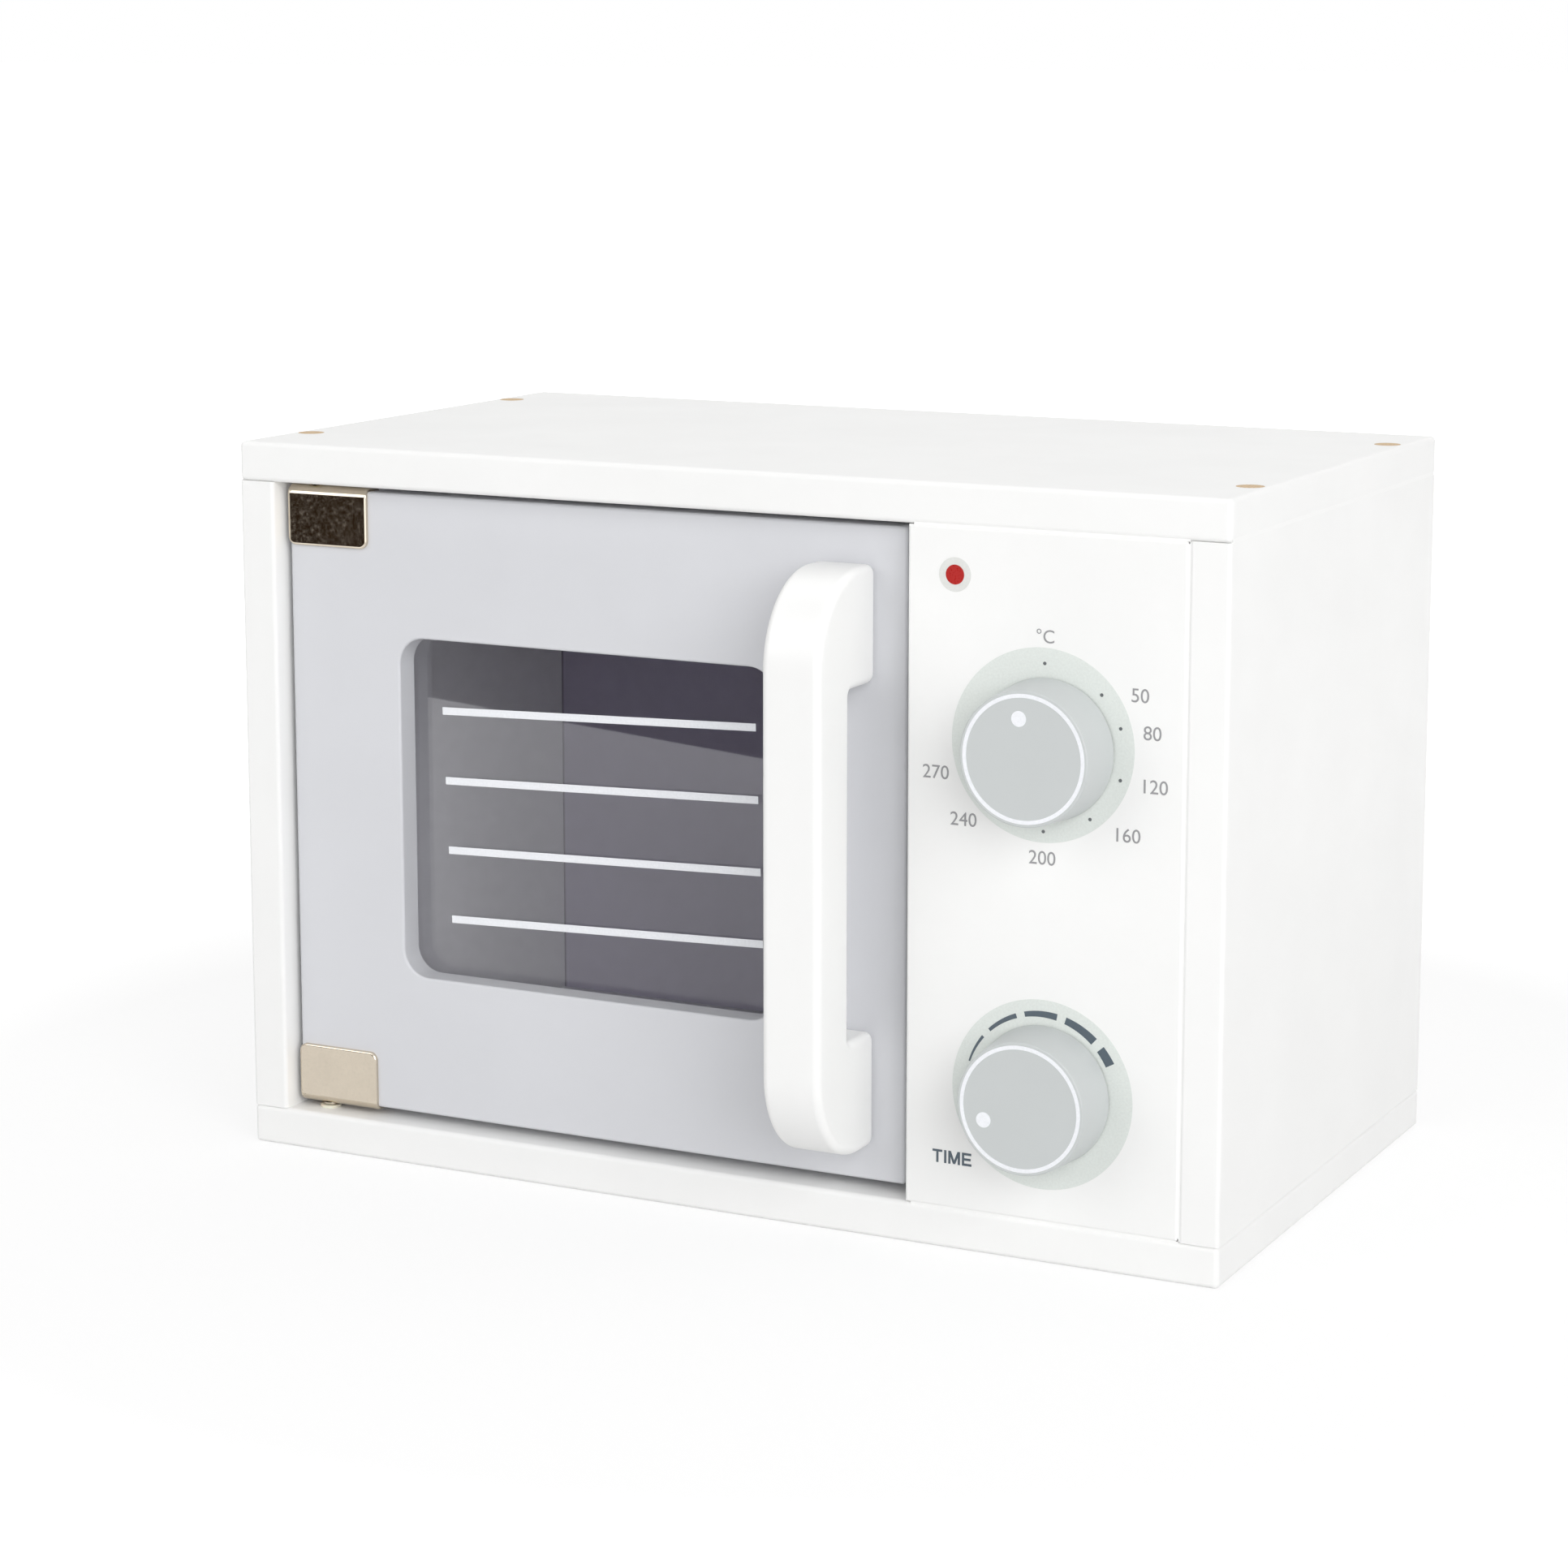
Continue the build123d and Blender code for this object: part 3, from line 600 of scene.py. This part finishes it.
class MICROWAVE_OT_finish_case(Operator):
    """Paint the case's boards and the control panel, and finish the dowels and battens"""
    bl_idname = "microwave.finish_case"
    bl_label = "Finish the case"

    def execute(self, context):
        paint = context.scene.microwave_paint
        dress(
            satin_paint("case_paint", paint.case, smooth=0.46, rough=0.58),
            "top_panel", "bottom_panel", "left_side_panel", "right_side_panel", "divider_panel",
            "control_panel",
        )
        # The back's oven side and its corner by the left board carry painted shade
        low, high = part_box("back_panel")
        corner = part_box("left_side_panel")[1].x
        dress(
            back_board_paint_and_shade("back_paint", paint.back, paint.case, corner, (low.y + high.y) / 2),
            "back_panel",
        )
        dress(end_grain("bare_wood", paint.dowel), "top_dowels", "bottom_dowels", "panel_battens")
        return {"FINISHED"}


class MICROWAVE_OT_fill_joints(Operator):
    """Fill the joints under the top board and round the control panel with paint"""
    bl_idname = "microwave.fill_joints"
    bl_label = "Fill the joints"

    # How far the paint lies below the case's sides, and below the front in the panel's rounded joints
    side_sink = 0.03 * MM
    panel_sink = 0.4 * MM
    # How far in from a face it goes, and how far from the joint's ends it stops
    depth = 1.3 * MM
    stop = 1.6 * MM
    # How far it goes up and down from a side joint, and to each side of a panel joint
    above = 1.5 * MM
    below = 0.375 * MM
    beside = 0.75 * MM

    def execute(self, context):
        joint = TOP_LOW.z
        bars = []
        for side in (-1, 1):
            across = sorted(side * (TOP_HIGH.x - inward) for inward in (self.side_sink, self.depth))
            bars.append(paint_fill(
                Vector((across[0], TOP_LOW.y + self.stop, joint - self.below)),
                Vector((across[1], TOP_HIGH.y - self.stop, joint + self.above)),
            ))
        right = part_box("right_side_panel")[0].x
        front, back = PANEL_LOW.y + self.panel_sink, PANEL_LOW.y + self.depth
        bars.append(paint_fill(
            Vector((right - self.beside, front, PANEL_LOW.z)),
            Vector((right + self.beside, back, PANEL_HIGH.z)),
        ))
        for height in (joint, PANEL_LOW.z):
            bars.append(paint_fill(
                Vector((PANEL_LOW.x + self.stop, front, height - self.beside)),
                Vector((right, back, height + self.beside)),
            ))
        # The frame's own plain paint, a shade lighter than the boards'
        plain = bpy.data.materials["case_paint"]
        finish_piece(join(bars), "joint_paint", plain, "case")
        return {"FINISHED"}


class MICROWAVE_OT_finish_door(Operator):
    """Paint the door and its handle, and tint the window pane"""
    bl_idname = "microwave.finish_door"
    bl_label = "Finish the door"

    def execute(self, context):
        paint = context.scene.microwave_paint
        dress(satin_paint("door_paint", paint.door, smooth=0.38, rough=0.5, peel=0.016 * MM), "door_panel")
        dress(satin_paint("handle_paint", paint.handle, smooth=0.3, rough=0.4, streak=(1, 1, 0.25)), "handle")
        dress(smoked_sheet("smoked_acrylic", paint.smoke), "window_pane")
        return {"FINISHED"}


class MICROWAVE_OT_finish_hardware(Operator):
    """Finish the hinge clips and pins, the catch, the screws and the knobs"""
    bl_idname = "microwave.finish_hardware"
    bl_label = "Finish the hardware and knobs"

    def execute(self, context):
        paint = context.scene.microwave_paint
        dress(
            plated_metal("nickel_plate", paint.nickel, smooth=0.05, rough=0.09, stain=0.05),
            "upper_hinge_clip", "lower_hinge_clip", "upper_hinge_pin", "lower_hinge_pin", "clamp_screws",
        )
        dress(
            plated_metal("zinc_steel", paint.zinc, smooth=0.24, rough=0.4, stain=0.08),
            "batten_screws", "catch_screws", "catch_poles", "pane_screws", "handle_screws",
            "strike_plate", "strike_screws", "temperature_knob_washer", "temperature_knob_screw",
            "timer_knob_washer", "timer_knob_screw",
        )
        dress(
            moulded_plastic("knob_plastic", paint.knob, smooth=0.4, rough=0.5),
            "temperature_knob", "timer_knob",
        )
        dress(moulded_plastic("catch_plastic", paint.catch, smooth=0.36, rough=0.46), "catch_housing")
        dress(
            moulded_plastic("bush_nylon", paint.nylon, smooth=0.4, rough=0.5, soft=0.2),
            "upper_pin_bush", "lower_pin_bush", "thrust_washer",
        )
        dress(
            moulded_plastic("ferrite", paint.ferrite, smooth=0.55, rough=0.7, grain=0.02 * MM, scale=900),
            "catch_magnet",
        )
        dress(
            moulded_plastic("pad_rubber", paint.rubber, smooth=0.7, rough=0.85, grain=0.015 * MM, scale=1400),
            "clamp_pads",
        )
        return {"FINISHED"}


def knob_axis(node):
    """Where a knob's axis meets its front face."""
    low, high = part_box(node)
    return Vector(((low.x + high.x) / 2, low.y, (low.z + high.z) / 2))


class MICROWAVE_OT_print_temperature(Operator):
    """Print the temperature dial: its disc, dots and numbers"""
    bl_idname = "microwave.print_temperature"
    bl_label = "Print the temperature dial"

    # Places across and up from the knob's axis, in millimetres
    disc_offset = (-1.3, 1.0)
    dots = ((-0.8, 24.0), (16.2, 16.5), (21.9, 7.6), (22.0, -6.8), (13.2, -18.5), (-0.7, -23.2))
    numbers = {
        "°C": (-0.7, 31.6), "50": (27.5, 17.2), "80": (31.2, 7.0), "120": (32.4, -7.8),
        "160": (24.6, -22.0), "200": (-1.0, -30.7), "240": (-25.0, -22.0), "270": (-33.6, -9.2),
    }

    def execute(self, context):
        sizes = context.scene.microwave_print
        axis = knob_axis("temperature_knob")
        face = PANEL_LOW.y
        disc = printed_ring(sizes.hub_hole, sizes.dial_radius, sizes.film)
        stand_up(disc, offset_from(axis, self.disc_offset, face))
        pale = printing_ink("dial_ink", sizes.dial_ink)
        finish_piece(disc, "temperature_dial_print", pale, "case")

        dark = printing_ink("dot_ink", sizes.dot_ink)
        spots = []
        for offset in self.dots:
            spots.append(printed_disc(sizes.scale_dot, sizes.film))
            stand_up(spots[-1], offset_from(axis, offset, face - sizes.film))
        finish_piece(join(spots), "temperature_dots", dark, "case")

        grey = printing_ink("grey_ink", sizes.grey_ink)
        words = []
        for text, offset in self.numbers.items():
            words.append(printed_word(text, sizes.number_height, sizes.film))
            stand_up(words[-1], offset_from(axis, offset, face))
        finish_piece(join(words), "temperature_numbers", grey, "case")
        return {"FINISHED"}


class MICROWAVE_OT_print_timer(Operator):
    """Print the timer dial: its disc, growing dashes and word"""
    bl_idname = "microwave.print_timer"
    bl_label = "Print the timer dial"

    # Places across and up from the knob's axis, in millimetres
    disc_offset = (-0.4, -0.05)
    word_offset = (-27.8, -22.0)
    # Where each dash starts and ends, in degrees from the disc's right, upwards
    dashes = ((162.2, 140.6), (133.7, 109.7), (103.3, 79.0), (72.5, 47.7), (40.9, 28.1))
    # The word's letters by their height: how wide each is, and the bars that it is drawn with, end to end
    letters = (
        (0.80, (((0.00, 0.91), (0.80, 0.91)), ((0.40, 0.00), (0.40, 0.91)))),
        (0.18, (((0.09, 0.00), (0.09, 1.00)),)),
        (0.96, (
            ((0.09, 0.00), (0.09, 1.00)), ((0.12, 0.97), (0.48, 0.04)),
            ((0.48, 0.04), (0.84, 0.97)), ((0.87, 0.00), (0.87, 1.00)),
        )),
        (0.78, (
            ((0.09, 0.00), (0.09, 1.00)), ((0.09, 0.91), (0.76, 0.91)),
            ((0.09, 0.50), (0.71, 0.50)), ((0.09, 0.09), (0.78, 0.09)),
        )),
    )
    letter_gap = 0.16
    letter_stroke = 0.18
    # Each bar of a letter stands off a little more than the one before, so that no faces coincide
    bar_step = 0.1

    def execute(self, context):
        sizes = context.scene.microwave_print
        axis = knob_axis("timer_knob")
        centre = offset_from(axis, self.disc_offset, PANEL_LOW.y)
        disc = printed_ring(sizes.hub_hole, sizes.dial_radius, sizes.film)
        stand_up(disc, centre)
        finish_piece(disc, "timer_dial_print", bpy.data.materials["dial_ink"], "case")

        slate = printing_ink("slate_ink", sizes.slate_ink)
        marks = []
        for start, end in self.dashes:
            marks.append(printed_dash(
                sizes.dash_radius, math.radians(start), math.radians(end),
                self.dash_width(sizes, start), self.dash_width(sizes, end), sizes.film,
            ))
            stand_up(marks[-1], centre - Vector((0, sizes.film, 0)))
        finish_piece(join(marks), "timer_dashes", slate, "case")

        word = self.draw_word(sizes.word_height, sizes.film)
        stand_up(word, offset_from(axis, self.word_offset, PANEL_LOW.y))
        finish_piece(word, "timer_word", slate, "case")
        return {"FINISHED"}

    def dash_width(self, sizes, at):
        """How wide the row of dashes is at an angle."""
        first, last = self.dashes[0][0], self.dashes[-1][1]
        return sizes.dash_thin + (sizes.dash_thick - sizes.dash_thin) * (first - at) / (first - last)

    def draw_word(self, height, film):
        """The word, centred and drawn flat."""
        whole = sum(wide for wide, bars in self.letters) + self.letter_gap * (len(self.letters) - 1)
        corner = Vector((-whole / 2, -0.5))
        pieces = []
        for wide, bars in self.letters:
            for layer, (start, end) in enumerate(bars):
                ends = ((corner + Vector(point)) * height for point in (start, end))
                stand_off = film * (1 + self.bar_step * layer)
                pieces.append(printed_bar(*ends, self.letter_stroke * height, stand_off))
            corner.x += wide + self.letter_gap
        return join(pieces)


class MICROWAVE_OT_print_lamp(Operator):
    """Print the red lamp and its ring in the panel's corner"""
    bl_idname = "microwave.print_lamp"
    bl_label = "Print the lamp"

    # Across and up from the panel's upper left corner, in millimetres
    offset = (14.4, -13.3)
    # The lamp's film by the ring's
    thickness = 1.5

    def execute(self, context):
        sizes = context.scene.microwave_print
        place = offset_from(Vector((PANEL_LOW.x, 0, PANEL_HIGH.z)), self.offset, PANEL_LOW.y)
        ring = printed_ring(sizes.lamp_radius, sizes.lamp_ring, sizes.film)
        stand_up(ring, place)
        pale = printing_ink("lamp_ring_ink", sizes.lamp_ring_ink)
        finish_piece(ring, "lamp_ring", pale, "case")
        lamp = printed_disc(sizes.lamp_radius, self.thickness * sizes.film)
        stand_up(lamp, place)
        red = printing_ink("lamp_ink", sizes.lamp_ink, rough=0.3)
        finish_piece(lamp, "lamp", red, "case")
        return {"FINISHED"}


class MICROWAVE_OT_mark_knobs(Operator):
    """Print the white ring and the pointing dot on both knobs"""
    bl_idname = "microwave.mark_knobs"
    bl_label = "Mark the knobs"

    # Each dot's place across and up from the knob's axis, in millimetres
    pointers = {"temperature": (-1.4, 11.1), "timer": (-10.9, -4.4)}

    def execute(self, context):
        sizes = context.scene.microwave_print
        white = printing_ink("white_ink", sizes.white_ink)
        for name, offset in self.pointers.items():
            axis = knob_axis(f"{name}_knob")
            ring = printed_ring(sizes.face_ring - sizes.face_ring_width, sizes.face_ring, sizes.film)
            stand_up(ring, axis)
            finish_piece(ring, f"{name}_knob_ring", white, f"{name}_dial")
            dot = printed_disc(sizes.pointer_radius, sizes.film)
            stand_up(dot, offset_from(axis, offset, axis.y))
            finish_piece(dot, f"{name}_knob_pointer", white, f"{name}_dial")
        return {"FINISHED"}


class MICROWAVE_OT_print_window_lines(Operator):
    """Print the white lines on the window pane"""
    bl_idname = "microwave.print_window_lines"
    bl_label = "Print the window lines"

    # The lines' middle, across and up from the pane's in millimetres, and the cuts along each line
    offset = (1.2, -0.95)
    cuts = 3

    def execute(self, context):
        sizes = context.scene.microwave_print
        deselect()
        bpy.ops.mesh.primitive_plane_add(size=1)
        edit_all()
        bpy.ops.transform.resize(value=(sizes.line_length, sizes.line_width, 1), center_override=ORIGIN)
        bpy.ops.mesh.subdivide(number_cuts=self.cuts)
        thicken(sizes.film)
        line = bpy.context.object
        top = sizes.line_pitch * (sizes.line_count - 1) / 2
        heights = [top - sizes.line_pitch * index for index in range(sizes.line_count)]
        lines = [copy_piece(line, (0, height, 0)) for height in heights]
        bpy.data.objects.remove(line)
        printed = join(lines)
        stand_up(printed, offset_from((PANE_LOW + PANE_HIGH) / 2, self.offset, PANE_LOW.y), sizes.line_tilt)
        finish_piece(printed, "window_lines", bpy.data.materials["white_ink"], "door")
        return {"FINISHED"}


class MICROWAVE_OT_build_stage(Operator):
    """Lay the pale floor, stand the dark card, hang the lamps and stand the camera as in the photograph"""
    bl_idname = "microwave.build_stage"
    bl_label = "Build the stage"

    floor_size = 60.0
    floor_cuts = 4
    # The floor's glow to the eye near the object and far from it, and from where to where it grows
    glow = (0.76, 1.5)
    glow_reach = (0.3, 1.0)
    # How much of its colour the floor keeps to show the lamps' shadow to the eye
    shadow_share = 0.3
    # Two points that the foot of the dark card passes through, its height, and its tones
    card_foot = ((-1.05, -0.923), (-0.15, -0.6435))
    card_height = 0.3
    card_cuts = 3
    card_tones = (0.6, 1.5)
    # Name, place, size and power of each soft lamp, and what they all point at
    lamps = (
        ("front_left", (-1.9, -2.7, 1.6), 3.2, 40.0),
        ("front_right", (2.4, -2.4, 1.5), 3.0, 65.0),
        ("right", (3.0, -1.4, 1.5), 3.0, 27.0),
        ("overhead", (0.0, 0.9, 2.9), 4.0, 47.0),
    )
    lamp_aim = Vector((0, 0, 0.1))
    # The camera's sensor in millimetres, and how near and far it sees in metres
    sensor = 36
    nearest, farthest = 0.05, 100

    def execute(self, context):
        stage = context.scene.microwave_stage
        self.lay_floor(stage)
        self.stand_card(stage)
        self.light_world(context.scene, stage)
        for name, place, size, power in self.lamps:
            self.hang_lamp(name, Vector(place), size, power)
        self.stand_camera(context.scene, stage)
        context.scene.view_settings.view_transform = "Standard"
        return {"FINISHED"}

    def lay_floor(self, stage):
        """The floor that the object stands on, as far as the camera sees."""
        deselect()
        bpy.ops.mesh.primitive_plane_add(size=self.floor_size, location=ORIGIN)
        edit_all()
        bpy.ops.mesh.subdivide(number_cuts=self.floor_cuts)
        bpy.ops.object.mode_set(mode="OBJECT")
        floor = bpy.context.object
        floor.name = "floor"
        floor.data.materials.append(self.floor_material(stage))
        deselect()

    def floor_material(self, stage):
        """Pale floor: a plain matte surface to the lamps, and a white one with a soft shadow to the eye."""
        material = new_material("floor", stage.floor)
        material.node_tree.nodes.remove(shader(material))
        place = add_node(material, "ShaderNodeTexCoord").outputs["Object"]
        distance = add_node(material, "ShaderNodeVectorMath", {"Vector": place}, operation="LENGTH")
        glow = between(material, distance.outputs["Value"], *self.glow, *self.glow_reach)
        white = add_node(material, "ShaderNodeEmission", {"Color": WHITE, "Strength": glow})
        faint = add_node(material, "ShaderNodeBsdfDiffuse", {"Color": shade(stage.floor, self.shadow_share)})
        seen = add_node(material, "ShaderNodeAddShader", {0: faint.outputs[0], 1: white.outputs[0]})
        matte = add_node(material, "ShaderNodeBsdfDiffuse", {"Color": stage.floor})
        mixed_surface(material, seen_rays(material), matte.outputs[0], seen.outputs[0])
        return material

    def stand_card(self, stage):
        """A dark card beside the camera that only gloss and the pane see."""
        deselect()
        left, right = (Vector((*point, 0)) for point in self.card_foot)
        bpy.ops.mesh.primitive_plane_add(size=1)
        edit_all()
        bpy.ops.transform.resize(value=((right - left).length, self.card_height, 1), center_override=ORIGIN)
        bpy.ops.mesh.subdivide(number_cuts=self.card_cuts)
        bpy.ops.object.mode_set(mode="OBJECT")
        card = bpy.context.object
        card.name = "card"
        along = math.atan2(right.y - left.y, right.x - left.x)
        card.rotation_euler = (QUARTER_TURN, 0, along)
        card.location = (left + right) / 2 + Vector((0, 0, self.card_height / 2))
        material = new_material("card", stage.card)
        material.node_tree.nodes.remove(shader(material))
        cloud = noise(material, object_place(material), scale=30, detail=5, roughness=0.6)
        tone = mottled(material, cloud, stage.card, *self.card_tones)
        set_surface(material, add_node(material, "ShaderNodeEmission", {"Color": tone}).outputs[0])
        card.data.materials.append(material)
        for rays in ("camera", "diffuse", "volume_scatter", "shadow"):
            setattr(card, f"visible_{rays}", False)
        deselect()

    def light_world(self, scene, stage):
        """White to the eye and to gloss, and a soft light to everything else."""
        world = bpy.data.worlds.new("studio")
        world.use_nodes = True
        scene.world = world
        background = world.node_tree.nodes["Background"]
        put(world, background, "Color", WHITE)
        strength = between(world, seen_rays(world), stage.sky, 1, from_low=0, from_high=1)
        put(world, background, "Strength", strength)

    def hang_lamp(self, name, place, size, power):
        """One soft round lamp."""
        deselect()
        turn = (self.lamp_aim - place).to_track_quat("-Z", "Y").to_euler()
        bpy.ops.object.light_add(type="AREA", location=place, rotation=turn)
        lamp = bpy.context.object
        lamp.name = f"lamp_{name}"
        lamp.data.shape = "DISK"
        lamp.data.size = size
        lamp.data.energy = power
        deselect()

    def stand_camera(self, scene, stage):
        """The camera where the photograph was taken from."""
        deselect()
        turn = (QUARTER_TURN - stage.camera_tilt, 0, stage.camera_turn)
        bpy.ops.object.camera_add(location=stage.camera_place, rotation=turn)
        camera = bpy.context.object
        camera.matrix_world = camera.matrix_world @ Matrix.Rotation(stage.camera_roll, 4, "Z")
        camera.data.sensor_width = self.sensor
        camera.data.lens = self.sensor * stage.focal_share
        camera.data.shift_x = stage.shift_x
        camera.data.shift_y = stage.shift_y
        camera.data.clip_start = self.nearest
        camera.data.clip_end = self.farthest
        scene.camera = camera
        deselect()


STEPS = (
    MICROWAVE_OT_finish_case, MICROWAVE_OT_fill_joints, MICROWAVE_OT_finish_door,
    MICROWAVE_OT_finish_hardware, MICROWAVE_OT_print_temperature, MICROWAVE_OT_print_timer,
    MICROWAVE_OT_print_lamp, MICROWAVE_OT_mark_knobs, MICROWAVE_OT_print_window_lines,
    MICROWAVE_OT_build_stage,
)


class MICROWAVE_PT_steps(Panel):
    """The steps that finish the toy microwave"""
    bl_label = "Toy microwave"
    bl_space_type = "VIEW_3D"
    bl_region_type = "UI"
    bl_category = "Toy microwave"

    def draw(self, context):
        for step in STEPS:
            self.layout.operator(step.bl_idname)


GROUPS = {
    "microwave_paint": MicrowavePaint,
    "microwave_print": MicrowavePrint,
    "microwave_stage": MicrowaveStage,
}


def register():
    for item in (*GROUPS.values(), *STEPS, MICROWAVE_PT_steps):
        bpy.utils.register_class(item)
    for name, group in GROUPS.items():
        setattr(bpy.types.Scene, name, PointerProperty(type=group))


def unregister():
    for name in GROUPS:
        delattr(bpy.types.Scene, name)
    for item in (MICROWAVE_PT_steps, *reversed(STEPS), *reversed(GROUPS.values())):
        bpy.utils.unregister_class(item)


def main():
    register()
    for step in STEPS:
        group, name = step.bl_idname.split(".")
        getattr(getattr(bpy.ops, group), name)()


if __name__ == "__main__":
    main()
